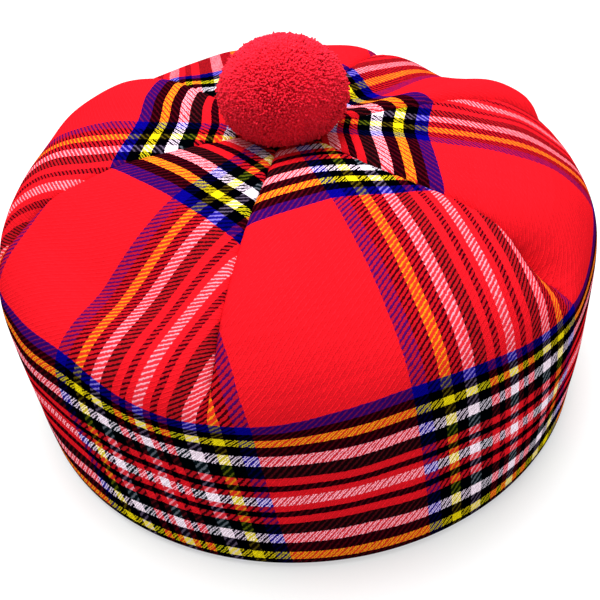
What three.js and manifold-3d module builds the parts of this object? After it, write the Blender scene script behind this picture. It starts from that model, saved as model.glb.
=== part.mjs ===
// A tartan tam o shanter at rest on a flat surface: six crown gores, a deep side band,
// a flat turned-under ring round the head opening, and a pompom.
// Millimetres, +Z up. The origin is at the middle of the face that the hat rests on.
// The wearer's front faces -Y.
import * as THREE from 'three';
import { mergeVertices } from 'three/addons/utils/BufferGeometryUtils.js';
import Module from 'manifold-3d';

const wasm = await Module();
wasm.setup();

// Driving dimensions
const outerRadius = 135; // the widest ring of the side
const widestHeight = 40; // height of that ring
const footRadius = 134.4; // outside radius just above the turned-under edge
const turnRadius = 4; // rounding of the turned-under edge
const crownHeight = 124; // top of the crown, before the dimple under the pompom
const crownSquareness = 4; // superellipse exponent of the shoulder, 2 is a round dome
const clothWall = 2; // cloth, seam allowances and interfacing together
const rimLength = 90; // from the foot, up along the cloth, to the rim row
const rimScallop = 6; // how far the rim row rises between two seams
const headRadius = 92; // the head opening
const hemWidth = 12; // the turned hem round the head opening
const hemWall = 3.6;
const tipRadius = 5; // the ring where the points of the gores are drawn together
const dimpleDepth = 2; // the pompom's tie draws the middle of the crown down
const dimpleRadius = 26;
const pompomWidth = 54;
const pompomTall = 42;
const pompomSunk = 3; // how much of it the dimple and the tie take up
const lockCount = 72;
const lockWidth = 11;
const lockHeight = 4; // a lock's tip above the solid head of the pompom
const clearance = 0.3; // between pieces that touch

// What each seam does to the cloth beside it: the valley along its whole length, the deeper
// pucker near its lower end, and the slack hollow that the pulled cloth leaves on the shoulder
const grooveDepth = 3.6;
const grooveReach = 27;
const creaseDepth = 5;
const creaseReach = 14;
const pullDepth = 3.4;
const pullReach = 56;

// One row for each seam, anticlockwise from the one left of the front. azimuth is in degrees
// from +X. groove, crease and pull are shares of the three depths above.
const seams = [
  { azimuth: -105.7, groove: 0.4, crease: 0.55, pull: 0.6 },
  { azimuth: -39.5, groove: 1.0, crease: 1.35, pull: 1.0 },
  { azimuth: 13, groove: 0.9, crease: 0.6, pull: 1.0 },
  { azimuth: 61, groove: 0.9, crease: 0.5, pull: 0.8 },
  { azimuth: 130.5, groove: 0.8, crease: 0.6, pull: 0.8 },
  { azimuth: 190.5, groove: 0.35, crease: 0.7, pull: 0.35 },
];

// One row for each place on the shoulder where the full cloth stands out past the profile, or
// hangs inside it where out is less than 0, in mm. swellWidth is in degrees round the hat.
const swellWidth = 9.4;
const swells = [
  { azimuth: -10, out: -3 },
  { azimuth: 17, out: 7 },
  { azimuth: 30, out: -1.5 },
  { azimuth: 41, out: -6 },
  { azimuth: 64, out: 3 },
  { azimuth: 134, out: 5 },
  { azimuth: 148, out: 3.5 },
  { azimuth: 163, out: -1.5 },
];

// One row for each place where the slack cloth of the front slumps flatter than the profile
// between the rim row and the top. slumpWidth is in degrees round the hat, drop in mm.
const slumpWidth = 20;
const slumps = [
  { azimuth: -150, drop: 7 },
  { azimuth: -128, drop: 9 },
  { azimuth: -72, drop: 4 },
];

// One row for each shallow hollow of the standing side. turn and wide are shares of a full turn,
// up and tall of rimLength, and share is that of sagDepth.
const sagDepth = 2.2;
const sags = [
  { turn: 0.08, up: 0.62, wide: 0.035, tall: 0.3, share: 0.5 },
  { turn: 0.27, up: 0.55, wide: 0.045, tall: 0.35, share: 1.0 },
  { turn: 0.45, up: 0.6, wide: 0.035, tall: 0.3, share: 0.7 },
  { turn: 0.66, up: 0.66, wide: 0.04, tall: 0.28, share: 0.6 },
];

// Resolution of the cloth
const stepsAcrossGore = 12;
const stepsUpGore = 12;
const stepsUpSide = 6;
const stepsInTurn = 3;
const headDetail = 2;
const lockSides = 5;
const seatSteps = 8;

const radians = THREE.MathUtils.degToRad;
const lerp = THREE.MathUtils.lerp;
const goreCount = seams.length;

// The profile of the hat from the foot to the top, as points a short way apart
function makeProfile() {
  const points = [];
  const turnSteps = 12;
  for (let i = 0; i <= turnSteps; i += 1) {
    const angle = lerp(-Math.PI / 2, 0, i / turnSteps);
    const r = footRadius - turnRadius + turnRadius * Math.cos(angle);
    points.push([r, turnRadius + turnRadius * Math.sin(angle)]);
  }
  const sideSteps = 40;
  for (let i = 1; i <= sideSteps; i += 1) {
    const z = lerp(turnRadius, widestHeight, i / sideSteps);
    const below = (widestHeight - z) / (widestHeight - turnRadius);
    points.push([outerRadius - (outerRadius - footRadius) * below * below, z]);
  }
  const crownSteps = 500;
  for (let i = 1; i <= crownSteps; i += 1) {
    const angle = (Math.PI / 2) * (i / crownSteps);
    const power = 2 / crownSquareness;
    const r = outerRadius * Math.pow(Math.max(Math.cos(angle), 0), power);
    const z = widestHeight + (crownHeight - widestHeight) * Math.pow(Math.sin(angle), power);
    points.push([i === crownSteps ? 0 : r, z]);
  }
  const lengths = [0];
  for (let i = 1; i < points.length; i += 1) {
    const step = Math.hypot(points[i][0] - points[i - 1][0], points[i][1] - points[i - 1][1]);
    lengths.push(lengths[i - 1] + step);
  }
  return { points, lengths };
}

const profile = makeProfile();
const turnLength = (Math.PI / 2) * turnRadius;

// Radius, height and outward normal of the profile at a length up from the foot
function profileAt(length) {
  const { points, lengths } = profile;
  let low = 0;
  let high = lengths.length - 1;
  while (high - low > 1) {
    const middle = (low + high) >> 1;
    if (lengths[middle] > length) {
      high = middle;
    } else {
      low = middle;
    }
  }
  const share = THREE.MathUtils.clamp((length - lengths[low]) / (lengths[high] - lengths[low]), 0, 1);
  const dr = points[high][0] - points[low][0];
  const dz = points[high][1] - points[low][1];
  const size = Math.hypot(dr, dz);
  return {
    r: points[low][0] + dr * share,
    z: points[low][1] + dz * share,
    nr: dz / size,
    nz: -dr / size,
  };
}

// The length up the profile, on the crown, at which its radius is the given one
function lengthAtRadius(radius) {
  const { points, lengths } = profile;
  let i = points.length - 2;
  while (points[i][0] < radius) {
    i -= 1;
  }
  const share = (points[i][0] - radius) / (points[i][0] - points[i + 1][0]);
  return lerp(lengths[i], lengths[i + 1], share);
}

const tipLength = lengthAtRadius(tipRadius);
const topLength = profile.lengths[profile.lengths.length - 1];

// The gore at an azimuth, and how far across it that lies, from 0 to 1
function goreAt(azimuth) {
  for (let i = 0; i < goreCount; i += 1) {
    const start = seams[i].azimuth;
    const end = goreEnd(i);
    const turned = start + THREE.MathUtils.euclideanModulo(azimuth - start, 360);
    if (turned < end) {
      return { index: i, across: (turned - start) / (end - start) };
    }
  }
  return { index: goreCount - 1, across: 1 };
}

function goreEnd(index) {
  if (index < goreCount - 1) {
    return seams[index + 1].azimuth;
  }
  return seams[0].azimuth + 360;
}

// The rim row dips at the darts and rises between them
function rimAt(azimuth) {
  const { across } = goreAt(azimuth);
  return rimLength - rimScallop * Math.cos(2 * Math.PI * across);
}

const smooth = (from, to, value) => THREE.MathUtils.smoothstep(value, from, to);

// The share of the way from the ends of the darts to the top of the crown
function shareUpCrown(length) {
  const dartEnd = rimLength - rimScallop + clearance;
  return (length - dartEnd) / (topLength - dartEnd);
}

// How much the shoulder's own form counts at that share
function shoulderFade(up) {
  return smooth(0, 0.2, up) * (1 - smooth(0.55, 0.95, up));
}

function slumpFade(up) {
  return smooth(0, 0.27, up) * (1 - smooth(0.27, 0.62, up));
}

// How much of each effect of a seam is left at that share
function seamFades(up) {
  const dartEnds = smooth(0, 0.12, up);
  return {
    groove: dartEnds * (1 - smooth(0.7, 0.97, up)),
    crease: dartEnds * (1 - smooth(0.14, 0.36, up)),
    pull: shoulderFade(up),
  };
}

// How far the cloth lies inside the profile beside one seam
function seamInset(seam, distance, length) {
  const up = shareUpCrown(length);
  if (up <= 0) {
    return 0;
  }
  const fade = seamFades(up);
  const near = (reach) => Math.max(0, 1 - distance / reach);
  const groove = grooveDepth * seam.groove * fade.groove * near(grooveReach) ** 2;
  const crease = creaseDepth * seam.crease * fade.crease * near(creaseReach) ** 2;
  const slack = near(pullReach);
  const pull = pullDepth * seam.pull * fade.pull * slack * slack * (3 - 2 * slack);
  return groove + crease + pull;
}

// How near an azimuth is to another, 1 where they meet and near 0 more than a width away
function nearness(azimuth, middle, width) {
  const turned = THREE.MathUtils.euclideanModulo(azimuth - middle + 180, 360) - 180;
  return Math.exp(-((turned / width) ** 2));
}

// How far the shoulder's swells and slumps carry the cloth outward
function swellAt(azimuth, length) {
  const up = shareUpCrown(length);
  let out = 0;
  for (const swell of swells) {
    out += swell.out * nearness(azimuth, swell.azimuth, swellWidth) * shoulderFade(up);
  }
  for (const slump of slumps) {
    out -= slump.drop * nearness(azimuth, slump.azimuth, slumpWidth) * slumpFade(up);
  }
  return out;
}

// How far the cloth lies inside the profile at one place
function insetAt(azimuth, length, radius) {
  const { index, across } = goreAt(azimuth);
  const span = radians(goreEnd(index) - seams[index].azimuth);
  const left = seamInset(seams[index], across * span * radius, length);
  const right = seamInset(seams[(index + 1) % goreCount], (1 - across) * span * radius, length);
  let inset = Math.max(left, right) - swellAt(azimuth, length);
  for (const sag of sags) {
    const turn = THREE.MathUtils.euclideanModulo(azimuth / 360 - sag.turn + 0.5, 1) - 0.5;
    const side = turn / sag.wide;
    const height = (length / rimLength - sag.up) / sag.tall;
    inset += sagDepth * sag.share * Math.exp(-side * side - height * height);
  }
  return inset * smooth(turnLength, 3 * turnLength, length);
}

// How far the pompom's tie draws the crown down at a radius
function dimpleAt(radius) {
  return dimpleDepth * Math.exp(-((radius / dimpleRadius) ** 2));
}

// A point of the cloth, a depth under its outer face
function clothPoint(azimuth, length, depth) {
  const at = profileAt(length);
  const inset = insetAt(azimuth, length, at.r) + depth;
  const r = at.r - at.nr * inset;
  const z = at.z - at.nz * (inset + dimpleAt(at.r));
  const angle = radians(azimuth);
  return new THREE.Vector3(r * Math.cos(angle), r * Math.sin(angle), z);
}

// A closed wall from a grid of outer points and a grid of inner points
function wallGeometry(columns, rows, closed, outerPoint, innerPoint) {
  const across = closed ? columns : columns + 1;
  const positions = [];
  for (const point of [outerPoint, innerPoint]) {
    for (let j = 0; j <= rows; j += 1) {
      for (let i = 0; i < across; i += 1) {
        positions.push(...point(i, j).toArray());
      }
    }
  }
  const inside = across * (rows + 1);
  const id = (layer, i, j) => layer * inside + j * across + (closed ? i % columns : i);
  const faces = [];
  const quad = (a, b, c, d) => faces.push(a, b, c, a, c, d);
  for (let j = 0; j < rows; j += 1) {
    for (let i = 0; i < columns; i += 1) {
      quad(id(0, i, j), id(0, i + 1, j), id(0, i + 1, j + 1), id(0, i, j + 1));
      quad(id(1, i, j), id(1, i, j + 1), id(1, i + 1, j + 1), id(1, i + 1, j));
    }
  }
  for (let i = 0; i < columns; i += 1) {
    quad(id(1, i, 0), id(1, i + 1, 0), id(0, i + 1, 0), id(0, i, 0));
    quad(id(0, i, rows), id(0, i + 1, rows), id(1, i + 1, rows), id(1, i, rows));
  }
  if (!closed) {
    for (let j = 0; j < rows; j += 1) {
      quad(id(1, 0, j), id(0, 0, j), id(0, 0, j + 1), id(1, 0, j + 1));
      quad(id(0, columns, j), id(1, columns, j), id(1, columns, j + 1), id(0, columns, j + 1));
    }
  }
  const geometry = new THREE.BufferGeometry();
  geometry.setAttribute('position', new THREE.Float32BufferAttribute(positions, 3));
  geometry.setIndex(faces);
  geometry.computeVertexNormals();
  return geometry;
}

function piece(name, geometry, colour, roughness) {
  const material = new THREE.MeshStandardMaterial({ color: colour, roughness, metalness: 0 });
  material.side = THREE.DoubleSide;
  const mesh = new THREE.Mesh(geometry, material);
  mesh.name = name;
  return mesh;
}

const clothRed = 0xe0202e;
const bandRed = 0x9c2430;
const undersideRed = 0x7c1c26;
const yarnRed = 0xd4101c;

// One wedge of the crown, from the rim row to the point under the pompom
function makeGore(index) {
  const start = seams[index].azimuth;
  const end = goreEnd(index);
  const at = (depth) => (i, j) => {
    const share = i / stepsAcrossGore;
    const rim = rimAt(lerp(start, end, share)) + clearance / 2;
    const length = lerp(rim, tipLength, j / stepsUpGore);
    const gapAngle = THREE.MathUtils.radToDeg(clearance / 2 / profileAt(length).r);
    const azimuth = lerp(start + gapAngle, end - gapAngle, share);
    return clothPoint(azimuth, length, depth);
  };
  const geometry = wallGeometry(stepsAcrossGore, stepsUpGore, false, at(0), at(clothWall));
  return piece(`crown_gore_${index + 1}`, geometry, clothRed, 0.85);
}

// The upright side with its turned-under edge
function makeSideBand() {
  const azimuths = [];
  for (let index = 0; index < goreCount; index += 1) {
    for (let i = 0; i < stepsAcrossGore; i += 1) {
      azimuths.push(lerp(seams[index].azimuth, goreEnd(index), i / stepsAcrossGore));
    }
  }
  const rows = stepsInTurn + stepsUpSide;
  const at = (depth) => (i, j) => {
    const azimuth = azimuths[i % azimuths.length];
    const top = rimAt(azimuth) - clearance / 2;
    let length = (turnLength * j) / stepsInTurn;
    if (j > stepsInTurn) {
      length = lerp(turnLength, top, (j - stepsInTurn) / stepsUpSide);
    }
    return clothPoint(azimuth, length, depth);
  };
  const geometry = wallGeometry(azimuths.length, rows, true, at(0), at(clothWall));
  return piece('side_band', geometry, bandRed, 0.85);
}

// The flat ring round the head opening, with its thicker turned hem
function makeUndersideRing() {
  const outer = footRadius - turnRadius - clearance;
  const hemEnd = headRadius + hemWidth;
  const hemSlope = 1.5;
  const sections = [
    { r: outer, top: clothWall },
    { r: hemEnd + hemSlope, top: clothWall },
    { r: hemEnd, top: hemWall },
    { r: headRadius, top: hemWall },
  ];
  const columns = goreCount * stepsAcrossGore;
  const at = (height) => (i, j) => {
    const angle = (2 * Math.PI * i) / columns;
    const { r, top } = sections[j];
    return new THREE.Vector3(r * Math.cos(angle), r * Math.sin(angle), height * top);
  };
  const geometry = wallGeometry(columns, sections.length - 1, true, at(1), at(0));
  return piece('underside_ring', geometry, undersideRed, 0.9);
}

// A closed geometry as a solid that can be joined and cut
function toSolid(geometry) {
  const bare = geometry.clone();
  bare.deleteAttribute('normal');
  bare.deleteAttribute('uv');
  const merged = mergeVertices(bare, 1e-4);
  return new wasm.Manifold(new wasm.Mesh({
    numProp: 3,
    vertProperties: new Float32Array(merged.getAttribute('position').array),
    triVerts: new Uint32Array(merged.getIndex().array),
  }));
}

function toGeometry(solid) {
  const mesh = solid.getMesh();
  const geometry = new THREE.BufferGeometry();
  geometry.setAttribute('position', new THREE.Float32BufferAttribute(mesh.vertProperties, 3));
  geometry.setIndex(new THREE.Uint32BufferAttribute(mesh.triVerts, 1));
  geometry.computeVertexNormals();
  return geometry;
}

// Directions spread evenly over a ball, one for each lock of yarn
function lockDirections() {
  const goldenAngle = Math.PI * (3 - Math.sqrt(5));
  const directions = [];
  for (let i = 0; i < lockCount; i += 1) {
    const height = 1 - (2 * i + 1) / lockCount;
    const ring = Math.sqrt(1 - height * height);
    const turn = goldenAngle * i;
    directions.push(new THREE.Vector3(ring * Math.cos(turn), ring * Math.sin(turn), height));
  }
  return directions;
}

// One lock of yarn along +Y from the middle of the ball, flared, with a domed tip
function makeLock(ballRadius) {
  const headRadiusHere = ballRadius - lockHeight;
  const profilePoints = [
    new THREE.Vector2(0, headRadiusHere / 2),
    new THREE.Vector2(lockWidth / 4, headRadiusHere / 2),
    new THREE.Vector2(lockWidth / 2, ballRadius - lockHeight / 3),
    new THREE.Vector2(0, ballRadius),
  ];
  return new THREE.LatheGeometry(profilePoints, lockSides);
}

// What the crown fills under the pompom, with the clearance on top
function seatSolid() {
  const radius = pompomWidth;
  const points = [new THREE.Vector2(0, -crownHeight), new THREE.Vector2(radius, -crownHeight)];
  for (let i = seatSteps; i >= 0; i -= 1) {
    const r = (radius * i) / seatSteps;
    const at = profileAt(lengthAtRadius(r));
    points.push(new THREE.Vector2(r, at.z - at.nz * dimpleAt(r) + clearance));
  }
  const geometry = new THREE.LatheGeometry(points, 2 * goreCount);
  geometry.rotateX(Math.PI / 2);
  return toSolid(geometry);
}

// The pompom: locks of cut yarn fused to one head, cut to the dimple that it is tied into
function makePompom() {
  const ballRadius = pompomWidth / 2;
  const head = new THREE.IcosahedronGeometry(ballRadius - lockHeight, headDetail);
  let ball = toSolid(head);
  const up = new THREE.Vector3(0, 1, 0);
  for (const direction of lockDirections()) {
    const lock = makeLock(ballRadius);
    lock.applyQuaternion(new THREE.Quaternion().setFromUnitVectors(up, direction));
    ball = ball.add(toSolid(lock));
  }
  const seatZ = crownHeight - dimpleDepth;
  const centreZ = seatZ + pompomTall / 2 - pompomSunk;
  const placed = ball.scale([1, 1, pompomTall / pompomWidth]).translate([0, 0, centreZ]);
  return piece('pompom', toGeometry(placed.subtract(seatSolid())), yarnRed, 0.95);
}

const hat = new THREE.Group();
for (let index = 0; index < goreCount; index += 1) {
  hat.add(makeGore(index));
}
hat.add(makeSideBand());
hat.add(makeUndersideRing());
hat.add(makePompom());

export default hat;
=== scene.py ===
"""A tartan tam o shanter: cloth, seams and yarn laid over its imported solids."""
import math

import bpy
import numpy as np
from mathutils import Matrix, Vector


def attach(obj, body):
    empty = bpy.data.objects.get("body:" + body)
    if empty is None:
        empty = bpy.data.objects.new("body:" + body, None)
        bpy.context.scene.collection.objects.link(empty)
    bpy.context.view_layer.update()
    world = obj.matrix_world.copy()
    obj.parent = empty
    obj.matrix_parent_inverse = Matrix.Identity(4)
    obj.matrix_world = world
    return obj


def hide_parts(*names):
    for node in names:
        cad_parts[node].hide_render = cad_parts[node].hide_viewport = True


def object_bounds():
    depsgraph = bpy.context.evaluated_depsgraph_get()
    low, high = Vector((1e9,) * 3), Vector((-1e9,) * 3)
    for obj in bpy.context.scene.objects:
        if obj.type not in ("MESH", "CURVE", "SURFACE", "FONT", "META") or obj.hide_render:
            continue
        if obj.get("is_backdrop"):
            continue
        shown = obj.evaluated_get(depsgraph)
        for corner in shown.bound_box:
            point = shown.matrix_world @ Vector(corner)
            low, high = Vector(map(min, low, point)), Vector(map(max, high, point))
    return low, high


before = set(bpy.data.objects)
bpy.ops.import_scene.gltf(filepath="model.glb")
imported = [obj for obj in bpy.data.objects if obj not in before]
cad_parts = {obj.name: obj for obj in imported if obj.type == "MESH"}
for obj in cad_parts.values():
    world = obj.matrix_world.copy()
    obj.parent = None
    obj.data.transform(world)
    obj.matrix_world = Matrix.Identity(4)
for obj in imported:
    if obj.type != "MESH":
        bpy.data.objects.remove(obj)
cad_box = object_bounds()

MM = 0.001

# Camera, set by the photograph
CAMERA_PLACE = Vector((-0.00055, -0.29684, 0.28234))
CAMERA_DOWN = math.radians(40.97)
CAMERA_ROLL = math.radians(5.11)
FOCAL_PIXELS = 769.2
PHOTO_PIXELS = 600
SENSOR_MM = 36.0

# The hat's sizes in millimetres, as its solids have them
OUTER_RADIUS = 135.0
WIDEST_HEIGHT = 40.0
FOOT_RADIUS = 134.4
TURN_RADIUS = 4.0
CROWN_HEIGHT = 124.0
CROWN_SQUARENESS = 4.0
CLOTH_WALL = 2.0
RIM_LENGTH = 90.0
RIM_SCALLOP = 6.0
HEAD_RADIUS = 92.0
HEM_WIDTH = 12.0
HEM_WALL = 3.6
TIP_RADIUS = 5.0
DIMPLE_DEPTH = 2.0
DIMPLE_RADIUS = 26.0
POMPOM_WIDTH = 54.0
POMPOM_TALL = 42.0
POMPOM_SUNK = 3.0
CLEARANCE = 0.3

GROOVE_DEPTH, GROOVE_REACH = 3.6, 27.0
CREASE_DEPTH, CREASE_REACH = 5.0, 14.0
PULL_DEPTH, PULL_REACH = 3.4, 56.0

# Where those depths grow and fade, as shares of the way up the crown
DART_RISE = (0.0, 0.12)
GROOVE_FADE = (0.7, 0.97)
CREASE_FADE = (0.14, 0.36)
SHOULDER_RISE, SHOULDER_FADE = (0.0, 0.2), (0.55, 0.95)
SLUMP_RISE, SLUMP_FADE = (0.0, 0.27), (0.27, 0.62)

# One row for each seam, as in the solids: its azimuth in degrees, and its share of each depth.
# left and right are how far, in millimetres, the star row of the tartan climbs past its
# plain place at the seam, on the gore to the left and on the gore to the right of it. middle
# is the azimuth, on the gore to the right, that the tartan is laid from.
SEAMS = [
    dict(azimuth=-105.7, groove=0.4, crease=0.55, pull=0.6, left=-2.5, right=6.0, middle=-74.3),
    dict(azimuth=-39.5, groove=1.0, crease=1.35, pull=1.0, left=-1.0, right=-4.0, middle=-15.0),
    dict(azimuth=13.0, groove=0.9, crease=0.6, pull=1.0, left=5.0, right=5.0, middle=38.0),
    dict(azimuth=61.0, groove=0.9, crease=0.5, pull=0.8, left=3.0, right=3.0, middle=96.0),
    dict(azimuth=130.5, groove=0.8, crease=0.6, pull=0.8, left=-14.0, right=-14.0, middle=163.5),
    dict(azimuth=190.5, groove=0.35, crease=0.7, pull=0.35, left=-3.0, right=-3.0, middle=225.7),
]
GORES = len(SEAMS)

# Where the full cloth of the shoulder stands out past the profile, or hangs inside it where
# out is less than 0, in millimetres.
SWELL_WIDTH = 9.4
SWELLS = [
    dict(azimuth=-10.0, out=-3.0),
    dict(azimuth=17.0, out=7.0),
    dict(azimuth=30.0, out=-1.5),
    dict(azimuth=41.0, out=-6.0),
    dict(azimuth=64.0, out=3.0),
    dict(azimuth=134.0, out=5.0),
    dict(azimuth=148.0, out=3.5),
    dict(azimuth=163.0, out=-1.5),
]

# Where the slack cloth of the front slumps flatter than the profile, in millimetres
SLUMP_WIDTH = 20.0
SLUMPS = [
    dict(azimuth=-150.0, drop=7.0),
    dict(azimuth=-128.0, drop=9.0),
    dict(azimuth=-72.0, drop=4.0),
]

# Shallow hollows of the side: where each lies, in turns round the hat and as a share of the
# side's height, how wide and tall it is, and its share of the depth in millimetres
SAG_DEPTH = 2.2
SAGS = [
    dict(turn=0.08, up=0.62, wide=0.035, tall=0.3, share=0.5),
    dict(turn=0.27, up=0.55, wide=0.045, tall=0.35, share=1.0),
    dict(turn=0.45, up=0.6, wide=0.035, tall=0.3, share=0.7),
    dict(turn=0.66, up=0.66, wide=0.04, tall=0.28, share=0.6),
]

# The tartan, charted in threads out from its white middle stripe. One row for each
# stripe: where it ends, and its colour. Past the last stripe the ground is red.
STRIPES = [
    (3, "white"),
    (7, "red"),
    (11, "black"),
    (16, "red"),
    (24, "green"),
    (31, "white"),
    (38, "black"),
    (44, "yellow"),
    (51, "black"),
    (59, "blue"),
]
THREAD_COLOURS = {
    "red": (0.91, 0.12, 0.16),
    "white": (1.00, 0.92, 0.98),
    "black": (0.02, 0.01, 0.04),
    "green": (0.01, 0.04, 0.05),
    "yellow": (0.92, 0.83, 0.10),
    "blue": (0.06, 0.04, 0.50),
}

# Threads between white middle stripes, across and up the cloth; threads from such a stripe to
# the azimuth that a gore is laid from; and millimetres for each thread under the hat
SETT_ACROSS = 198
SETT_UP = 261
LINE_FROM_MIDDLE = 141.0
PITCH = 0.71

# Where the rows of the tartan lie: one row for each mark, with its thread count up from the
# white middle stripe of the side, its mean length up the cloth, and how far it bows up
# in the middle of a gore and down at the seams.
ROWS = [
    dict(pick=-54.0, length=0.0, bow=0.0),
    dict(pick=-41.0, length=10.8, bow=0.0),
    dict(pick=-27.5, length=24.5, bow=0.0),
    dict(pick=0.0, length=49.5, bow=2.7),
    dict(pick=27.5, length=72.5, bow=2.2),
    dict(pick=41.0, length=81.6, bow=2.6),
    dict(pick=59.0, length=89.7, bow=4.0),
    dict(pick=202.0, length=168.0, bow=6.0),
    dict(pick=289.0, length=235.5, bow=0.0),
]

# How many degrees the stripes of the side slant for each millimetre down it, and how far above
# and below the rim they take to draw in with the crown
BAND_SKEW = 0.045
DART_EASE = 9.0

# How far past the rim a row's curve turns into its kink at the seams, and the lengths up the
# cloth where the rows' climb to the seams is whole and where it fades. A place on a bowed row
# is found in a few rounds.
KINK_START, KINK_END = 4.0, 32.0
CLIMB_WHOLE, CLIMB_FADE = 150.0, (190.0, 230.0)
BOW_ROUNDS = 6


def smooth(start, end, value):
    """0 before start, 1 after end, and a smooth rise between."""
    t = np.clip((value - start) / (end - start), 0, 1)
    return t * t * (3 - 2 * t)


def add_object(name, data):
    """A new object of the scene."""
    made = bpy.data.objects.new(name, data)
    bpy.context.scene.collection.objects.link(made)
    return made


def make_camera():
    """The camera, where the photograph was taken from."""
    data = bpy.data.cameras.new("camera")
    data.sensor_width = SENSOR_MM
    data.lens = FOCAL_PIXELS / PHOTO_PIXELS * SENSOR_MM
    data.clip_start = 0.01
    camera = add_object("camera", data)
    forward = Vector((0, math.cos(CAMERA_DOWN), -math.sin(CAMERA_DOWN)))
    level = Vector((1, 0, 0))
    above = level.cross(forward)
    right = level * math.cos(CAMERA_ROLL) - above * math.sin(CAMERA_ROLL)
    up = level * math.sin(CAMERA_ROLL) + above * math.cos(CAMERA_ROLL)
    turn = Matrix((right, up, -forward)).transposed()
    camera.matrix_world = Matrix.Translation(CAMERA_PLACE) @ turn.to_4x4()
    bpy.context.scene.camera = camera


make_camera()


# The form of the cloth

TURN_POINTS, SIDE_POINTS, CROWN_POINTS, PROFILE_POINTS = 13, 41, 501, 900


def make_profile():
    """Length, radius, height and outward normal along the hat's outline, from the foot up."""
    turn = np.linspace(-math.pi / 2, 0, TURN_POINTS)
    radius = [FOOT_RADIUS - TURN_RADIUS + TURN_RADIUS * np.cos(turn)]
    height = [TURN_RADIUS + TURN_RADIUS * np.sin(turn)]
    side = np.linspace(TURN_RADIUS, WIDEST_HEIGHT, SIDE_POINTS)[1:]
    below = (WIDEST_HEIGHT - side) / (WIDEST_HEIGHT - TURN_RADIUS)
    radius.append(OUTER_RADIUS - (OUTER_RADIUS - FOOT_RADIUS) * below**2)
    height.append(side)
    angle = np.linspace(0, math.pi / 2, CROWN_POINTS)[1:]
    power = 2 / CROWN_SQUARENESS
    radius.append(OUTER_RADIUS * np.clip(np.cos(angle), 0, None) ** power)
    height.append(WIDEST_HEIGHT + (CROWN_HEIGHT - WIDEST_HEIGHT) * np.sin(angle) ** power)
    r = np.concatenate(radius)
    z = np.concatenate(height)
    r[-1] = 0
    length = np.concatenate([[0], np.cumsum(np.hypot(np.diff(r), np.diff(z)))])
    even = np.linspace(0, length[-1], PROFILE_POINTS)
    r = np.interp(even, length, r)
    z = np.interp(even, length, z)
    dr = np.gradient(r)
    dz = np.gradient(z)
    size = np.hypot(dr, dz)
    return dict(length=even, r=r, z=z, nr=dz / size, nz=-dr / size)


PROFILE = make_profile()
TOP_LENGTH = PROFILE["length"][-1]
TURN_LENGTH = math.pi / 2 * TURN_RADIUS


def along_profile(length, what):
    """One of the profile's measures, at a length up the cloth."""
    return np.interp(length, PROFILE["length"], PROFILE[what])


def length_at_radius(radius):
    """The length up the cloth where the crown has a radius."""
    on_crown = PROFILE["length"] > RIM_LENGTH
    return np.interp(-radius, -PROFILE["r"][on_crown], PROFILE["length"][on_crown])


TIP_LENGTH = float(length_at_radius(TIP_RADIUS))


def seam_azimuth(index):
    """The azimuth of a seam; past the last one the count goes on round the hat."""
    return SEAMS[index % GORES]["azimuth"] + 360 * (index // GORES)


def azimuth_at(gore, across):
    """The azimuth at a share of the way across a gore."""
    return seam_azimuth(gore) + across * (seam_azimuth(gore + 1) - seam_azimuth(gore))


def laid_middle(index):
    """The azimuth that the tartan of a gore is laid from."""
    return SEAMS[index % GORES]["middle"] + 360 * (index // GORES)


def rim_at(across):
    """The length up the cloth of the seam between the side and a gore."""
    return RIM_LENGTH - RIM_SCALLOP * np.cos(2 * math.pi * across)


def share_up_crown(length):
    """The share of the way from the ends of the darts to the top of the crown."""
    dart_end = RIM_LENGTH - RIM_SCALLOP + CLEARANCE
    return np.clip((length - dart_end) / (TOP_LENGTH - dart_end), 0, 1)


def shoulder_fade(up):
    """How much of a pull or swell is left, over the shoulder."""
    return smooth(*SHOULDER_RISE, up) * (1 - smooth(*SHOULDER_FADE, up))


def seam_inset(seam, distance, length):
    """How far the cloth lies inside the profile beside one seam."""
    up = share_up_crown(length)
    near = lambda reach: np.clip(1 - distance / reach, 0, 1)
    groove_share = smooth(*DART_RISE, up) * (1 - smooth(*GROOVE_FADE, up))
    groove = GROOVE_DEPTH * seam["groove"] * groove_share * near(GROOVE_REACH) ** 2
    crease_share = smooth(*DART_RISE, up) * (1 - smooth(*CREASE_FADE, up))
    crease = CREASE_DEPTH * seam["crease"] * crease_share * near(CREASE_REACH) ** 2
    slack = near(PULL_REACH)
    pull = PULL_DEPTH * seam["pull"] * shoulder_fade(up) * slack * slack * (3 - 2 * slack)
    return groove + crease + pull


def slump_fade(up):
    """How much of a slump is left, low on the crown."""
    return smooth(*SLUMP_RISE, up) * (1 - smooth(*SLUMP_FADE, up))


def nearness(azimuth, middle, width):
    """1 where two azimuths meet, and near 0 more than a width away."""
    turned = (azimuth - middle + 180) % 360 - 180
    return np.exp(-((turned / width) ** 2))


def swell_at(azimuth, length):
    """How far the shoulder's swells and slumps carry the cloth outward."""
    up = share_up_crown(length)
    out = 0
    for swell in SWELLS:
        out = out + swell["out"] * nearness(azimuth, swell["azimuth"], SWELL_WIDTH) * shoulder_fade(up)
    for slump in SLUMPS:
        out = out - slump["drop"] * nearness(azimuth, slump["azimuth"], SLUMP_WIDTH) * slump_fade(up)
    return out


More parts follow.
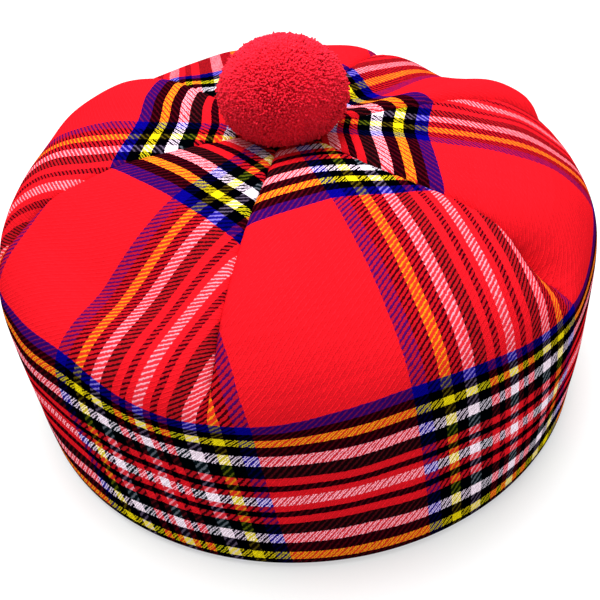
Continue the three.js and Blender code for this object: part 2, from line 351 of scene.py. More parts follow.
def cloth_inset(gore, across, length, radius):
    """How far the cloth of a gore, or of the side below it, lies inside the profile."""
    span = math.radians(seam_azimuth(gore + 1) - seam_azimuth(gore))
    left = seam_inset(SEAMS[gore % GORES], across * span * radius, length)
    right = seam_inset(SEAMS[(gore + 1) % GORES], (1 - across) * span * radius, length)
    azimuth = azimuth_at(gore, across)
    inset = np.maximum(left, right) - swell_at(azimuth, length)
    for sag in SAGS:
        turn = (azimuth / 360 - sag["turn"] + 0.5) % 1 - 0.5
        side = turn / sag["wide"]
        rise = (length / RIM_LENGTH - sag["up"]) / sag["tall"]
        inset = inset + SAG_DEPTH * sag["share"] * np.exp(-side * side - rise * rise)
    return inset * smooth(TURN_LENGTH, 3 * TURN_LENGTH, length)


# Slack in the cloth: long shallow waves in seeded directions
WAVE_DEPTH = 0.35
WAVE_LENGTHS = (26, 70)
WAVES = 14
wave_draws = np.random.default_rng(7)
wave_ways = wave_draws.normal(size=(WAVES, 3))
wave_ways /= np.linalg.norm(wave_ways, axis=1)[:, None]
wave_lengths = wave_draws.uniform(*WAVE_LENGTHS, WAVES)
wave_starts = wave_draws.uniform(0, 2 * math.pi, WAVES)


def slack_at(points):
    """How deep the slack waves are at points on the cloth."""
    phase = points @ (wave_ways / wave_lengths[:, None] * 2 * math.pi).T + wave_starts
    return WAVE_DEPTH * np.sin(phase).sum(axis=-1) / math.sqrt(WAVES / 2)


SEAM_SINK, SEAM_SINK_REACH = 1.3, 1.1
SEAM_START = 6.0
PUCKER_DEPTH, PUCKER_REACH = 0.22, 7.0
PUCKER_PITCH, PUCKER_BEAT = 5.5, 9.0
PUCKER_SHIFT = 1.7


def seam_detail(gore, across, length, radius):
    """The sewn line itself, sunk between the gores, with small puckers across it."""
    span = math.radians(seam_azimuth(gore + 1) - seam_azimuth(gore))
    distance = np.minimum(across, 1 - across) * span * radius
    above_dart = smooth(0, SEAM_START, length - (RIM_LENGTH - RIM_SCALLOP))
    sink = SEAM_SINK * np.exp(-distance / SEAM_SINK_REACH)
    side = np.where(across < 0.5, gore, gore + 1)
    wave = np.sin(2 * math.pi * length / PUCKER_PITCH + PUCKER_SHIFT * side)
    beat = np.sin(length / PUCKER_BEAT + side)
    pucker = PUCKER_DEPTH * wave * beat * np.exp(-distance / PUCKER_REACH)
    return above_dart * (sink + pucker)


def cloth_points(gore, across, length, depth):
    """Points of the cloth, in millimetres, at a depth under its outer face."""
    r = along_profile(length, "r")
    z = along_profile(length, "z")
    nr = along_profile(length, "nr")
    nz = along_profile(length, "nz")
    dip = DIMPLE_DEPTH * np.exp(-((r / DIMPLE_RADIUS) ** 2))
    angle = np.radians(azimuth_at(gore, across))
    plain = np.stack([r * np.cos(angle), r * np.sin(angle), z], axis=-1)
    loose = slack_at(plain) * smooth(TURN_LENGTH, 4 * TURN_LENGTH, length)
    inset = cloth_inset(gore, across, length, r) + depth + loose
    inset = inset + seam_detail(gore, across, length, r)
    out = r - nr * inset
    return np.stack([out * np.cos(angle), out * np.sin(angle), z - nz * (inset + dip)], axis=-1)


# The tartan's threads on the cloth

def row_height(length):
    """The count of picks at a mean length up the cloth."""
    return np.interp(length, [row["length"] for row in ROWS], [row["pick"] for row in ROWS])


def row_bow(length):
    """How far a row bows up in the middle of a gore and down at the seams."""
    return np.interp(length, [row["length"] for row in ROWS], [row["bow"] for row in ROWS])


def threads_at(gore, across, length):
    """The count of ends and picks at a place on the cloth."""
    middle = laid_middle(gore)
    turned = azimuth_at(gore, across) - middle
    slant = BAND_SKEW * np.clip(RIM_LENGTH - length, 0, None)
    before = SETT_ACROSS / (middle - laid_middle(gore - 1))
    after = SETT_ACROSS / (laid_middle(gore + 1) - middle)
    eased = turned - slant
    per_degree = np.where(eased < 0, before, after)
    angle = np.radians(np.abs(turned) + 1e-6)
    straight = 1 + along_profile(length, "nz") * (np.sin(angle) / angle - 1)
    narrowed = straight * along_profile(length, "r") / OUTER_RADIUS
    on_crown = smooth(RIM_LENGTH - DART_EASE, RIM_LENGTH + DART_EASE, length)
    ends = LINE_FROM_MIDDLE + SETT_ACROSS * gore + per_degree * eased * (1 + (narrowed - 1) * on_crown)
    from_middle = 2 * across - 1
    side_wave = np.cos(math.pi * from_middle)
    crown_wave = 1 - 2 * from_middle**2
    kinked = smooth(RIM_LENGTH + KINK_START, RIM_LENGTH + KINK_END, length)
    wave = side_wave + (crown_wave - side_wave) * kinked
    left = SEAMS[gore % GORES]["right"]
    right = SEAMS[(gore + 1) % GORES]["left"]
    climb_share = smooth(RIM_LENGTH, CLIMB_WHOLE, length) * (1 - smooth(*CLIMB_FADE, length))
    climb = (left + (right - left) * across) * climb_share
    even = length
    for _ in range(BOW_ROUNDS):
        even = length - row_bow(even) * wave - climb
    return ends, row_height(even)


# Meshes

SHARP_ANGLE = math.radians(55)


def closed_sheet(name, outer, inner, threads, wrapped=False):
    """A mesh from a grid of outer points and a grid of inner points, with its thread counts.

    Each row of the grids runs across the cloth, or all round it where it is wrapped. Points
    are in millimetres.
    """
    rows, columns = outer.shape[:2]
    points = np.concatenate([outer.reshape(-1, 3), inner.reshape(-1, 3)]) * MM
    layer = rows * columns
    down, along = np.meshgrid(np.arange(rows - 1), np.arange(columns - (not wrapped)), indexing="ij")
    down = down.ravel()
    along = along.ravel()
    beside = (along + 1) % columns
    corner = lambda layers, j, i: layers * layer + j * columns + i
    faces = [
        np.stack([corner(0, down, along), corner(0, down, beside),
                  corner(0, down + 1, beside), corner(0, down + 1, along)], axis=1),
        np.stack([corner(1, down, along), corner(1, down + 1, along),
                  corner(1, down + 1, beside), corner(1, down, beside)], axis=1),
    ]
    i = np.arange(columns - (not wrapped))
    k = (i + 1) % columns
    last = rows - 1
    faces += [
        np.stack([corner(1, 0, i), corner(1, 0, k), corner(0, 0, k), corner(0, 0, i)], axis=1),
        np.stack([corner(0, last, i), corner(0, last, k),
                  corner(1, last, k), corner(1, last, i)], axis=1),
    ]
    if not wrapped:
        j = np.arange(rows - 1)
        far = columns - 1
        faces += [
            np.stack([corner(1, j, 0), corner(0, j, 0),
                      corner(0, j + 1, 0), corner(1, j + 1, 0)], axis=1),
            np.stack([corner(0, j, far), corner(1, j, far),
                      corner(1, j + 1, far), corner(0, j + 1, far)], axis=1),
        ]
    quads = np.concatenate(faces)
    mesh = bpy.data.meshes.new(name)
    mesh.from_pydata(points.tolist(), [], quads.tolist())
    per_point = np.concatenate([threads.reshape(-1, 2)] * 2)
    per_corner = per_point[quads.ravel()]
    if wrapped:
        column = quads.ravel() % columns
        is_last = np.repeat((quads % columns == columns - 1).any(axis=1), 4)
        per_corner[is_last & (column == 0), 0] += SETT_ACROSS * GORES
    layer_of_threads = mesh.uv_layers.new(name="threads")
    layer_of_threads.data.foreach_set("uv", per_corner.astype(np.float32).ravel())
    mesh.shade_smooth()
    mesh.set_sharp_from_angle(angle=SHARP_ANGLE)
    return add_object(name, mesh)


EVEN_COLUMNS = 61
SEAM_COLUMNS = np.array([0.0012, 0.003, 0.0055, 0.009])


def columns_across():
    """Shares across a gore, closer together beside the seams."""
    even = np.linspace(0, 1, EVEN_COLUMNS)
    return np.unique(np.concatenate([even, SEAM_COLUMNS, 1 - SEAM_COLUMNS]).round(6))


ACROSS = columns_across()
GORE_ROWS = 110
SIDE_ROWS = 64
SIDE_ROWS_SPREAD = 1.15
HEM_ROWS, RING_ROWS = 14, 22
HEM_ROUNDING = 1.6
HEM_STEP_START, HEM_STEP_END = 1.4, -0.2


def make_gore(index):
    """One gore, from its seam with the side up to its tip under the pompom."""
    across = ACROSS[None, :]
    up = np.linspace(0, 1, GORE_ROWS)[:, None]
    length = rim_at(across) + (TIP_LENGTH - rim_at(across)) * up
    across = np.broadcast_to(across, length.shape)
    ends, picks = threads_at(index, across, length)
    outer = cloth_points(index, across, length, 0)
    inner = cloth_points(index, across, length, CLOTH_WALL)
    return closed_sheet(f"cloth_gore_{index + 1}", outer, inner, np.stack([ends, picks], axis=-1))


def make_side():
    """The upright side, one ring from the foot to the gores."""
    up = np.linspace(0, 1, SIDE_ROWS)[:, None] ** SIDE_ROWS_SPREAD
    outer = []
    inner = []
    threads = []
    for gore in range(GORES):
        across = ACROSS[None, :-1]
        length = rim_at(across) * up
        across = np.broadcast_to(across, length.shape)
        outer.append(cloth_points(gore, across, length, 0))
        inner.append(cloth_points(gore, across, length, CLOTH_WALL))
        threads.append(np.stack(threads_at(gore, across, length), axis=-1))
    join = lambda parts: np.concatenate(parts, axis=1)
    return closed_sheet("cloth_side", join(outer), join(inner), join(threads), wrapped=True)


def make_underside():
    """The turned-in ring, from the foot to the head opening, with its hem."""
    outer_radius = FOOT_RADIUS - TURN_RADIUS - CLEARANCE / 2
    hem_end = HEAD_RADIUS + HEM_WIDTH
    radius = np.unique(np.concatenate([
        np.linspace(HEAD_RADIUS, hem_end, HEM_ROWS),
        np.linspace(hem_end, outer_radius, RING_ROWS),
    ]))[::-1]
    inside = np.clip(radius - HEAD_RADIUS, 0, HEM_ROUNDING) / HEM_ROUNDING
    rounding = 0.5 * (1 - np.sqrt(1 - (1 - inside) ** 2))
    step = smooth(hem_end + HEM_STEP_START, hem_end + HEM_STEP_END, radius)
    top = CLOTH_WALL + (HEM_WALL - CLOTH_WALL) * step - rounding * HEM_WALL
    bottom = rounding * HEM_WALL
    azimuths = []
    ends = []
    across = ACROSS[:-1]
    for gore in range(GORES):
        azimuths.append(azimuth_at(gore, across))
        ends.append(threads_at(gore, across, np.zeros(len(across)))[0])
    angle = np.radians(np.concatenate(azimuths))[None, :]
    ends = np.broadcast_to(np.concatenate(ends)[None, :], (len(radius), angle.shape[1]))
    picks = ROWS[0]["pick"] - (outer_radius - radius)[:, None] / PITCH
    picks = np.broadcast_to(picks, ends.shape)

    def ring(height):
        r = radius[:, None]
        flat = np.broadcast_to(height[:, None], ends.shape)
        return np.stack([r * np.cos(angle), r * np.sin(angle), flat], axis=-1)

    threads = np.stack([ends, picks], axis=-1)
    return closed_sheet("cloth_underside", ring(top), ring(bottom), threads, wrapped=True)


# Materials

class Steps:
    """The nodes of one material, made one step at a time."""

    def __init__(self, name):
        self.material = bpy.data.materials.new(name)
        self.material.use_nodes = True
        self.tree = self.material.node_tree
        self.shader = self.tree.nodes["Principled BSDF"]

    def feed(self, socket, value):
        """Links a socket, or sets it where the value is plain."""
        if isinstance(value, bpy.types.NodeSocket):
            self.tree.links.new(value, socket)
        else:
            socket.default_value = value

    def node(self, kind, **settings):
        """A new node with these settings."""
        made = self.tree.nodes.new(kind)
        for key, value in settings.items():
            setattr(made, key, value)
        return made

    def math(self, operation, *values):
        made = self.node("ShaderNodeMath", operation=operation)
        for socket, value in zip(made.inputs, values):
            self.feed(socket, value)
        return made.outputs[0]

    def pick(self, factor, when_0, when_1, kind="RGBA"):
        """A mix of two colours, or of two numbers with kind FLOAT."""
        made = self.node("ShaderNodeMix", data_type=kind)
        found = {socket.identifier: socket for socket in made.inputs}
        ending = "Color" if kind == "RGBA" else "Float"
        self.feed(found["Factor_Float"], factor)
        self.feed(found[f"A_{ending}"], when_0)
        self.feed(found[f"B_{ending}"], when_1)
        return [s for s in made.outputs if s.identifier == f"Result_{ending}"][0]

    def tint(self, colour, strength):
        """A colour times a brightness."""
        made = self.node("ShaderNodeVectorMath", operation="SCALE")
        self.feed(made.inputs["Vector"], colour)
        self.feed(made.inputs["Scale"], strength)
        return made.outputs[0]

    def grey(self, colour):
        made = self.node("ShaderNodeRGBToBW")
        self.feed(made.inputs[0], colour)
        return made.outputs[0]

    def slope(self, value, rise, start):
        """A number times a rise, from a start."""
        return self.math("MULTIPLY_ADD", value, rise, start)

    def noise(self, scale, detail, vector):
        made = self.node("ShaderNodeTexNoise")
        made.inputs["Scale"].default_value = scale
        made.inputs["Detail"].default_value = detail
        self.feed(made.inputs["Vector"], vector)
        return made.outputs["Fac"]

    def bump(self, height, strength, distance):
        """Relief in the shader, its distance in metres."""
        made = self.node("ShaderNodeBump")
        made.inputs["Strength"].default_value = strength
        made.inputs["Distance"].default_value = distance
        self.feed(made.inputs["Height"], height)
        self.feed(self.shader.inputs["Normal"], made.outputs["Normal"])

    def chance(self, value):
        """A fixed random number from 0 to 1 for each whole value."""
        made = self.node("ShaderNodeTexWhiteNoise", noise_dimensions="1D")
        self.feed(made.inputs["W"], value)
        return made.outputs["Value"]


# The weave, in threads. A pair whose name ends in SHADE, RISE or FALL is a rise and a start.
RAMP_REACH = 64.0
TWILL = 4.0
WARP_FLOAT = 1.6
FUZZ_SCALE, FUZZ_WIDTH = 1100.0, 1.3
# Each weft float parts in the middle, and its parting gets painted shade
PLY_GAP, PLY_PAINTED_SHADE = 0.15, (-0.16, 1.0)
# Light picks get a painted highlight, and their gaps painted shade
LIGHT_PICK_FROM, LIGHT_PICK_RISE, LIGHT_PICK_PAINTED_HIGHLIGHT = 0.6, 3.0, 0.42
GAP_WARP, GAP_PAINTED_SHADE_STRENGTH = 0.5, 0.55
WARP_UNDER_RISE = (0.45, 0.05)
WARP_UNDER_FALL = (-0.40, 0.55)
WEFT_UNDER_BLACK, LESS_BY_WARP, LESS_BY_WEFT, LEAST_WEFT_UNDER = 0.63, -0.10, -0.44, 0.1
SCREEN_GAMMA = 2.2
MIX_POWER = 0.5

FLAT_SHARE = 0.4
# Painted shade low on the floats and along the twill's ribs; random tone of threads, blotches and
# fibres
FLOAT_PAINTED_SHADE = (0.56, 0.56)
RIB_PAINTED_SHADE = (0.06, 0.95)
THREAD_SHADE = (0.14, 0.93)
BLOTCH_SCALE, BLOTCH_SHADE = 38.0, (0.1, 0.95)
FIBRE_SCALE, FIBRE_SHADE = 2600.0, (0.36, 0.82)
PICK_SEED, END_SEED = 0.37, 900.61
RIB_RELIEF, FIBRE_RELIEF = 0.5, 0.5
CLOTH_BUMP = dict(strength=0.7, distance=0.00025)


def mixing_colour(name):
    return tuple(value**MIX_POWER for value in THREAD_COLOURS[name]) + (1,)


def stripe_colour(steps, thread, sett):
    """The colour of a thread, from its distance to the nearest white middle stripe."""
    shifted = steps.math("ADD", thread, 0.5 + sett / 2)
    turn = steps.math("FLOORED_MODULO", shifted, float(sett))
    distance = steps.math("ABSOLUTE", steps.math("SUBTRACT", turn, sett / 2))
    share = steps.math("DIVIDE", distance, RAMP_REACH)
    ramp = steps.node("ShaderNodeValToRGB")
    ramp.color_ramp.interpolation = "CONSTANT"
    stops = ramp.color_ramp.elements
    stops[0].position = 0
    stops[0].color = mixing_colour(STRIPES[0][1])
    stops[1].position = STRIPES[-1][0] / RAMP_REACH
    stops[1].color = mixing_colour("red")
    for (start, _), (_, colour) in zip(STRIPES, STRIPES[1:]):
        stop = stops.new(start / RAMP_REACH)
        stop.color = mixing_colour(colour)
    steps.feed(ramp.inputs["Fac"], share)
    return ramp.outputs["Color"]


def make_tartan():
    """Wool woven in a two and two twill whose weft covers more than its warp.

    A thread shows a little of the one that it covers. Dark warp shows more of its weft than
    light warp does, and red warp glows through its weft more than black or white warp. The
    two are mixed as the roots of their colours and turned into light at the end. Light picks
    get a painted highlight, and each float of theirs parts in the middle; these partings, and
    the warp between the floats, are darker with painted shade.
    """
    steps = Steps("tartan")
    uv = steps.node("ShaderNodeUVMap", uv_map="threads")
    split = steps.node("ShaderNodeSeparateXYZ")
    steps.feed(split.inputs[0], uv.outputs["UV"])
    place = steps.node("ShaderNodeTexCoord").outputs["Object"]
    fuzz = steps.slope(steps.noise(FUZZ_SCALE, 3.0, place), FUZZ_WIDTH, -FUZZ_WIDTH / 2)
    u = steps.math("ADD", split.outputs["X"], fuzz)
    v = steps.math("SUBTRACT", split.outputs["Y"], fuzz)
    end = steps.math("FLOOR", u)
    pick = steps.math("FLOOR", v)
    warp = stripe_colour(steps, end, SETT_ACROSS)
    weft = stripe_colour(steps, pick, SETT_UP)

    # Which thread is on top, and how high it stands
    diagonal = steps.math("FLOORED_MODULO", steps.math("SUBTRACT", u, v), TWILL)
    warp_up = steps.math("LESS_THAN", diagonal, WARP_FLOAT)
    weft_up = steps.math("SUBTRACT", 1.0, warp_up)
    on_warp = steps.math("DIVIDE", diagonal, WARP_FLOAT)
    past_warp = steps.math("SUBTRACT", diagonal, WARP_FLOAT)
    on_weft = steps.math("DIVIDE", past_warp, TWILL - WARP_FLOAT)
    along = steps.pick(warp_up, on_weft, on_warp, kind="FLOAT")
    over_pick = steps.math("SUBTRACT", v, pick)
    over_end = steps.math("SUBTRACT", u, end)
    across = steps.pick(warp_up, over_pick, over_end, kind="FLOAT")
    hump = steps.math("SINE", steps.math("MULTIPLY", along, math.pi))
    bulge = steps.math("SINE", steps.math("MULTIPLY", across, math.pi))
    rounded = steps.slope(bulge, 1 - FLAT_SHARE, FLAT_SHARE)
    height = steps.math("SQRT", steps.math("MULTIPLY", hump, rounded))
    from_middle = steps.math("SUBTRACT", diagonal, WARP_FLOAT / 2)
    rib = steps.math("COSINE", steps.math("MULTIPLY", from_middle, 2 * math.pi / TWILL))

    # The gaps beside and within light picks, which get painted shade, and how light each pick is, for
    # its painted highlight
    ply = steps.math("ABSOLUTE", steps.math("SUBTRACT", on_weft, 0.5))
    parted = steps.math("MULTIPLY", steps.math("LESS_THAN", ply, PLY_GAP), weft_up)
    weft_light = steps.grey(weft)
    lighter = steps.math("MULTIPLY", steps.math("SUBTRACT", weft_light, LIGHT_PICK_FROM), LIGHT_PICK_RISE)
    # How light the pick is, which sets its painted highlight and the painted shade of its gaps
    thick = steps.math("MAXIMUM", steps.math("MINIMUM", lighter, 1.0), 0.0)
    gap = steps.math("MULTIPLY", steps.math("MAXIMUM", warp_up, parted), thick)

    # How much of each thread is seen
    warp_light = steps.grey(warp)
    rise = steps.slope(warp_light, *WARP_UNDER_RISE)
    fall = steps.slope(warp_light, *WARP_UNDER_FALL)
    warp_under = steps.slope(gap, GAP_WARP, steps.math("MINIMUM", rise, fall))
    by_warp = steps.slope(warp_light, LESS_BY_WARP, WEFT_UNDER_BLACK)
    by_both = steps.slope(weft_light, LESS_BY_WEFT, by_warp)
    weft_under = steps.math("MAXIMUM", by_both, LEAST_WEFT_UNDER)
    warp_over = steps.math("SUBTRACT", 1.0, weft_under)
    warp_share = steps.pick(warp_up, warp_under, warp_over, kind="FLOAT")
    light = steps.node("ShaderNodeGamma")
    steps.feed(light.inputs["Color"], steps.pick(warp_share, weft, warp))
    light.inputs["Gamma"].default_value = SCREEN_GAMMA / MIX_POWER

    # Painted shade and painted highlight on the floats, ribs, partings and gaps, and random tone
    # of threads, blotches and fibres
    seeded_pick = steps.math("ADD", pick, PICK_SEED)
    seeded_end = steps.math("ADD", end, END_SEED)
    thread = steps.pick(warp_up, seeded_pick, seeded_end, kind="FLOAT")
    fibre = steps.slope(steps.noise(FIBRE_SCALE, 2.0, place), *FIBRE_SHADE)
    shades = [
        steps.slope(steps.chance(thread), *THREAD_SHADE),
        steps.slope(steps.noise(BLOTCH_SCALE, 3.0, place), *BLOTCH_SHADE),
        fibre,
        # Painted shade along the twill's ribs
        steps.slope(rib, *RIB_PAINTED_SHADE),
        # Painted shade in the partings of the weft floats
        steps.slope(parted, *PLY_PAINTED_SHADE),
        # Painted shade in the gaps of light picks, and a painted highlight on the rest of them
        steps.slope(gap, -GAP_PAINTED_SHADE_STRENGTH, steps.slope(thick, LIGHT_PICK_PAINTED_HIGHLIGHT, 1.0)),
    ]
    # Painted shade low on each float, and a painted highlight on its top
    bright = steps.slope(height, *FLOAT_PAINTED_SHADE)
    for shade in shades:
        bright = steps.math("MULTIPLY", bright, shade)
    steps.feed(steps.shader.inputs["Base Color"], steps.tint(light.outputs["Color"], bright))

    steps.bump(steps.slope(rib, RIB_RELIEF, steps.slope(fibre, FIBRE_RELIEF, height)), **CLOTH_BUMP)
    steps.shader.inputs["Roughness"].default_value = 1.0
    steps.shader.inputs["Specular IOR Level"].default_value = 0.0
    return steps.material


# The yarn's red is darker at the strands' roots with painted shade, and brighter at their tips
YARN_PAINTED_SHADE_AT_ROOT = (0.84, 0.010, 0.030, 1)
YARN_TIP = (0.90, 0.016, 0.042, 1)
YARN_GLOW = (1.0, 0.25, 0.3, 1)
YARN_FIBRE_SCALE, YARN_FIBRE_SHADE = 2200.0, (0.5, 0.75)
STRAND_SHADE = (0.3, 0.85)
YARN_BUMP_SCALE = 1800.0
YARN_BUMP = dict(strength=0.5, distance=0.0002)


def make_yarn():
    """Cut wool in red, darker with painted shade deep in the pile and brighter at the tips."""
    steps = Steps("yarn")
    reach = steps.node("ShaderNodeAttribute", attribute_name="reach")
    tone = steps.node("ShaderNodeAttribute", attribute_name="tone")
    # Painted shade deep in the pile, fading out towards the tips
    colour = steps.pick(reach.outputs["Fac"], YARN_PAINTED_SHADE_AT_ROOT, YARN_TIP)
    place = steps.node("ShaderNodeTexCoord").outputs["Object"]
    fibre = steps.slope(steps.noise(YARN_FIBRE_SCALE, 3.0, place), *YARN_FIBRE_SHADE)
    own = steps.slope(tone.outputs["Fac"], *STRAND_SHADE)
    seen = steps.tint(colour, steps.math("MULTIPLY", fibre, own))
    steps.feed(steps.shader.inputs["Base Color"], seen)
    steps.bump(steps.noise(YARN_BUMP_SCALE, 3.0, place), **YARN_BUMP)
    steps.shader.inputs["Roughness"].default_value = 0.95
    steps.shader.inputs["Specular IOR Level"].default_value = 0.1
    steps.shader.inputs["Sheen Weight"].default_value = 0.12
    steps.shader.inputs["Sheen Roughness"].default_value = 0.4
    steps.shader.inputs["Sheen Tint"].default_value = YARN_GLOW
    return steps.material


# The pompom

STRANDS = 20500
STRAND_SIDES = 3
STRAND_RINGS = 2
RING_SHARES = (0.0, 0.93, 1.0)
RING_WIDTHS = (1.0, 1.0, 0.0)
STRAND_RADIUS = 0.54
STRAND_RADII = (0.75, 1.2)
STRAND_SHOWN = 5.0
STRAND_CLEARANCE = 0.2
PARTING = np.array(Vector((-0.135, -0.43, 0.894)).normalized())
COMBED = 0.5
TIP_LEAN = 0.6
LUMPS, LUMP_WAVES, LUMP_SHARE = 4, 3.2, 0.018
STRAY_SHARE, STRAY_REACH = 0.06, (0.01, 0.045)
WAY_SCATTER, LENGTH_SCATTER, LEAN_SCATTER = 0.014, 0.012, 0.12
CORE_DEPTH = 0.8
CORE_COLUMNS = 72
CORE_ROWS = 40


def seat_height(radius):
    """The height of the crown under the ball."""
    length = length_at_radius(radius)
    dip = DIMPLE_DEPTH * np.exp(-((radius / DIMPLE_RADIUS) ** 2))
    return along_profile(length, "z") - dip


def unit(vectors):
    return vectors / np.linalg.norm(vectors, axis=1)[:, None]


def strand_ways(draws):
    """The strands' directions, spread evenly over the ball and each a little off."""
    order = np.arange(STRANDS)
    up = 1 - (2 * order + 1) / STRANDS
    turn = order * math.pi * (3 - math.sqrt(5))
    ring = np.sqrt(1 - up * up)
    ways = np.stack([ring * np.cos(turn), ring * np.sin(turn), up], axis=1)
    return unit(ways + draws.normal(scale=WAY_SCATTER, size=ways.shape))


def strand_reaches(draws, ways):
    """How far the strands reach, as shares of the ball: in soft lumps, with some stray ends."""
    lumps = 0
    for _ in range(LUMPS):
        wave = ways @ draws.normal(scale=LUMP_WAVES, size=3)
        lumps = lumps + np.sin(wave + draws.uniform(0, 6))
    reaches = 1 + draws.normal(scale=LENGTH_SCATTER, size=STRANDS) + LUMP_SHARE * lumps
    stray = draws.uniform(size=STRANDS) < STRAY_SHARE
    return reaches + stray * draws.uniform(*STRAY_REACH, STRANDS)


def strand_leans(draws, ways):
    """How the strands lean: away from the parting, and each its own way."""
    lean = draws.normal(scale=LEAN_SCATTER, size=ways.shape) + COMBED * (ways - PARTING)
    return lean - (lean * ways).sum(axis=1)[:, None] * ways


def strand_faces(count, per_strand):
    """The triangles of the strands, each a tube that closes in a point."""
    faces = []
    for k in range(STRAND_RINGS - 1):
        for j in range(STRAND_SIDES):
            n = (j + 1) % STRAND_SIDES
            a = k * STRAND_SIDES
            b = a + STRAND_SIDES
            faces.append((a + j, a + n, b + n))
            faces.append((a + j, b + n, b + j))
    last = (STRAND_RINGS - 1) * STRAND_SIDES
    for j in range(STRAND_SIDES):
        faces.append((last + j, last + (j + 1) % STRAND_SIDES, per_strand - 1))
    strands = (np.arange(count) * per_strand)[:, None, None]
    return (np.array(faces)[None] + strands).reshape(-1, 3)


def make_pompom():
    """A ball of cut yarn: a core, and strands that stand out of it, thick as plied wool."""
    draws = np.random.default_rng(23)
    half = np.array([POMPOM_WIDTH, POMPOM_WIDTH, POMPOM_TALL]) / 2
    centre = np.array([0, 0, CROWN_HEIGHT - DIMPLE_DEPTH + POMPOM_TALL / 2 - POMPOM_SUNK])
    ways = strand_ways(draws)
    reaches = strand_reaches(draws, ways)
    lean = strand_leans(draws, ways)
    side = unit(np.cross(ways, draws.normal(size=ways.shape)))
    other = np.cross(ways, side)
    thick = STRAND_RADIUS * draws.uniform(*STRAND_RADII, STRANDS)
    tones = draws.uniform(0, 1, STRANDS)

    tip = ways * half * reaches[:, None]
    root = tip - ways * STRAND_SHOWN
    points = []
    shares = []
    for k in range(STRAND_RINGS + 1):
        share = RING_SHARES[k]
        middle = root + (tip - root) * share + lean * STRAND_SHOWN * TIP_LEAN * share**2
        width = thick * RING_WIDTHS[k]
        for j in range(STRAND_SIDES if k < STRAND_RINGS else 1):
            angle = 2 * math.pi * (j + 0.5 * (k % 2)) / STRAND_SIDES
            around = side * math.cos(angle) + other * math.sin(angle)
            points.append(centre + middle + around * width[:, None])
            shares.append(np.full(STRANDS, share))
    per_strand = len(points)
    points = np.stack(points, axis=1)
    lowest = points[..., 2].min(axis=1)
    nearest = np.hypot(points[..., 0], points[..., 1]).min(axis=1)
    kept = lowest > seat_height(nearest) + STRAND_CLEARANCE
    points = points[kept].reshape(-1, 3)
    shares = np.stack(shares, axis=1)[kept].ravel()
    tones = np.repeat(tones[kept], per_strand)

    core_points, core_faces = pompom_core(centre, half - CORE_DEPTH)
    every_point = np.concatenate([points, core_points]) * MM
    every_face = np.concatenate([
        strand_faces(np.count_nonzero(kept), per_strand),
        core_faces + len(points),
    ])
    mesh = bpy.data.meshes.new("pompom_yarn")
    mesh.from_pydata(every_point.tolist(), [], every_face.tolist())
    # The core takes the colour of the strands' roots, with its painted shade
    on_core = np.zeros(len(core_points))
    for name, values in (("reach", shares), ("tone", tones)):
        layer = mesh.attributes.new(name, "FLOAT", "POINT")
        layer.data.foreach_set("value", np.concatenate([values, on_core]).astype(np.float32))
    mesh.shade_smooth()
    return add_object("pompom_yarn", mesh)


def pompom_core(centre, half):
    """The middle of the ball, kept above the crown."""
    ways = [(0, 0, -1)]
    for k in range(1, CORE_ROWS):
        polar = math.pi * k / CORE_ROWS
        ring = math.sin(polar)
        for j in range(CORE_COLUMNS):
            angle = 2 * math.pi * j / CORE_COLUMNS
            ways.append((ring * math.cos(angle), ring * math.sin(angle), -math.cos(polar)))
    ways.append((0, 0, 1))
    points = centre + np.array(ways) * half
    seat = seat_height(np.hypot(points[:, 0], points[:, 1])) + CLEARANCE
    points[:, 2] = np.maximum(points[:, 2], seat)
    faces = []
    for j in range(CORE_COLUMNS):
        n = (j + 1) % CORE_COLUMNS
        faces.append((0, 1 + n, 1 + j))
        for k in range(CORE_ROWS - 2):
            a = 1 + k * CORE_COLUMNS
            b = a + CORE_COLUMNS
            faces.append((a + j, a + n, b + n))
            faces.append((a + j, b + n, b + j))
        a = 1 + (CORE_ROWS - 2) * CORE_COLUMNS
        faces.append((a + j, a + n, len(points) - 1))
    return points, np.array(faces)


def dress(piece, material, slot, *nodes):
    """Gives a piece its finish and its place in the frame."""
    piece.data.materials.append(material)
    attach(piece, "root")
    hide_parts(*nodes)


tartan = make_tartan()
for index in range(GORES):
    dress(make_gore(index), tartan, "tartan", f"crown_gore_{index + 1}")
dress(make_side(), tartan, "tartan", "side_band")
dress(make_underside(), tartan, "tartan", "underside_ring")
dress(make_pompom(), make_yarn(), "yarn", "pompom")


# Floor and light

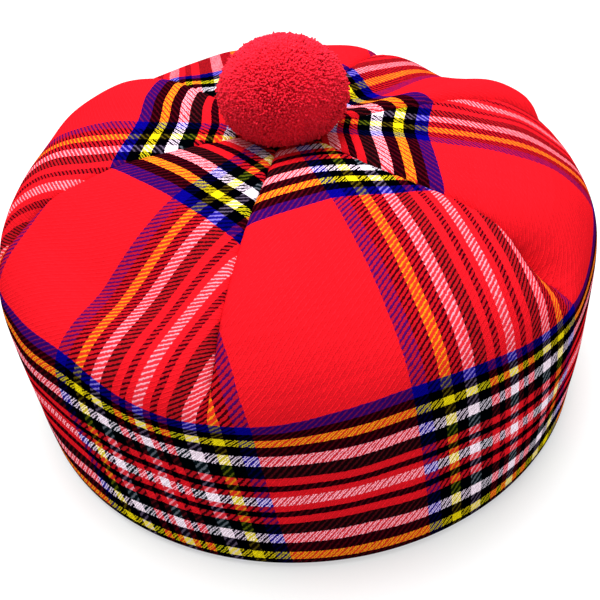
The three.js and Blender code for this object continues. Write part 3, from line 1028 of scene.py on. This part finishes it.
FLOOR_GREY, FLOOR_GLOW = 0.45, 0.5
FLOOR_HALF = 3.0
FLOOR_DROP = 0.0004
WORLD_LIGHT = 0.37
LIGHTS = [
    dict(name="key", place=(-0.12, 0.08, 1.3), size=0.9, power=25.5),
    dict(name="fill", place=(0.9, -0.5, 0.7), size=0.8, power=1.0),
    dict(name="back", place=(0.5, 0.8, 0.9), size=0.8, power=6.0),
]
LIT_POINT = Vector((0, 0, 0.06))


def make_floor():
    """A plain white floor, just under the hat."""
    mesh = bpy.data.meshes.new("floor")
    near = -FLOOR_HALF
    far = FLOOR_HALF
    low = -FLOOR_DROP
    corners = [(near, near, low), (far, near, low), (far, far, low), (near, far, low)]
    mesh.from_pydata(corners, [], [(0, 1, 2, 3)])
    floor = add_object("floor", mesh)
    material = bpy.data.materials.new("floor")
    material.use_nodes = True
    shader = material.node_tree.nodes["Principled BSDF"]
    shader.inputs["Base Color"].default_value = (FLOOR_GREY, FLOOR_GREY, FLOOR_GREY, 1)
    shader.inputs["Emission Color"].default_value = (1, 1, 1, 1)
    shader.inputs["Emission Strength"].default_value = FLOOR_GLOW
    shader.inputs["Roughness"].default_value = 0.9
    mesh.materials.append(material)
    floor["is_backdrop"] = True


def make_light(name, place, size, power):
    """A round soft light that faces the hat."""
    data = bpy.data.lights.new(name, "AREA")
    data.shape = "DISK"
    data.size = size
    data.energy = power
    light = add_object(name, data)
    light.location = place
    aim = LIT_POINT - Vector(place)
    light.rotation_euler = aim.to_track_quat("-Z", "Y").to_euler()


def make_world(strength):
    """Even white light from all round."""
    world = bpy.data.worlds.new("studio")
    world.use_nodes = True
    background = world.node_tree.nodes["Background"]
    background.inputs["Color"].default_value = (1, 1, 1, 1)
    background.inputs["Strength"].default_value = strength
    bpy.context.scene.world = world


make_floor()
make_world(WORLD_LIGHT)
for light in LIGHTS:
    make_light(**light)
bpy.context.scene.view_settings.view_transform = "Standard"

boxes = {"cad": cad_box, "visual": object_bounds()}
{name: [list(corner) for corner in box] for name, box in boxes.items()}
